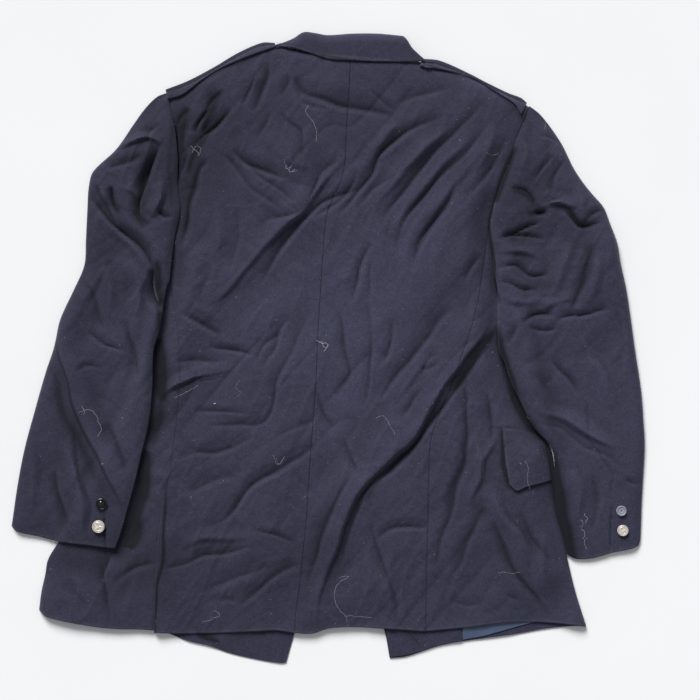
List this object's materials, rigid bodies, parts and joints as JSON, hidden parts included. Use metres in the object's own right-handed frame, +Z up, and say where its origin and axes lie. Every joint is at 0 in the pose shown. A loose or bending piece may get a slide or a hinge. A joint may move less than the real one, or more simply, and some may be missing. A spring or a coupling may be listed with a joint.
{
  "type": "fire service dress jacket",
  "caption": "Long-sleeved tailored jacket lying flat with its back up, with shoulder straps, side vents and buttoned cuffs.",
  "frame": {"origin": "on the table, under the middle of the jacket's outline", "axes": "+Z up from the table, +Y towards the collar, +X towards the wearer's right sleeve"},
  "size_m": [0.8519, 0.8493, 0.0208],
  "materials": {
    "navy_twill": "dark navy wool twill, matt with a faint sheen",
    "lining_satin": "blue-grey lining, soft sheen",
    "button_black": "glossy",
    "button_grey": "satin",
    "button_silver": "worn silver-toned metal",
    "thread_pale": "pale thread ends and lint, matt"
  },
  "bodies": {
    "root": {"front_left": "navy_twill", "front_right": "navy_twill", "side_left": "navy_twill", "side_right": "navy_twill", "back_left": "navy_twill", "back_right": "navy_twill", "sleeve_left_top": "navy_twill", "sleeve_left_under": "navy_twill", "sleeve_right_top": "navy_twill", "sleeve_right_under": "navy_twill", "collar_fall": "navy_twill", "collar_stand": "navy_twill", "shoulder_strap_left": "navy_twill", "shoulder_strap_right": "navy_twill", "pocket_flap_right": "navy_twill", "facing_right": "navy_twill", "lining_right": "lining_satin", "button_left_upper": "button_black", "button_left_lower": "button_silver", "button_right_upper": "button_grey", "button_right_lower": "button_silver"}
  },
  "joints": []
}
